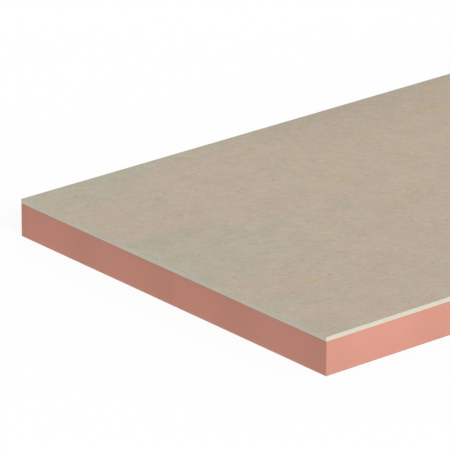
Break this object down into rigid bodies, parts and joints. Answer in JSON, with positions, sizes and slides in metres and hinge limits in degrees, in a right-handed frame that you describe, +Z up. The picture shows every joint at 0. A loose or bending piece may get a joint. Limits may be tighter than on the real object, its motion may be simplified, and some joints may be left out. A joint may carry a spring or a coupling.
{
  "type": "insulated plasterboard",
  "caption": "Flat laminated wall-lining board: a paper-faced gypsum sheet bonded to a thick slab of pink rigid foam, with all sides cut square and flush.",
  "frame": {"origin": "centre of the underside, where the foam rests on the floor or is bonded to a wall", "axes": "+X along the board's length, +Y across its width, +Z up through its thickness, from the foam to the paper face"},
  "size_m": [2.4, 1.2, 0.1025],
  "materials": {
    "foam": "matte",
    "gypsum": "matte",
    "paper": "matte"
  },
  "bodies": {
    "root": {"foam_insulation": "foam", "gypsum_core": "gypsum", "face_paper": "paper"}
  },
  "joints": []
}
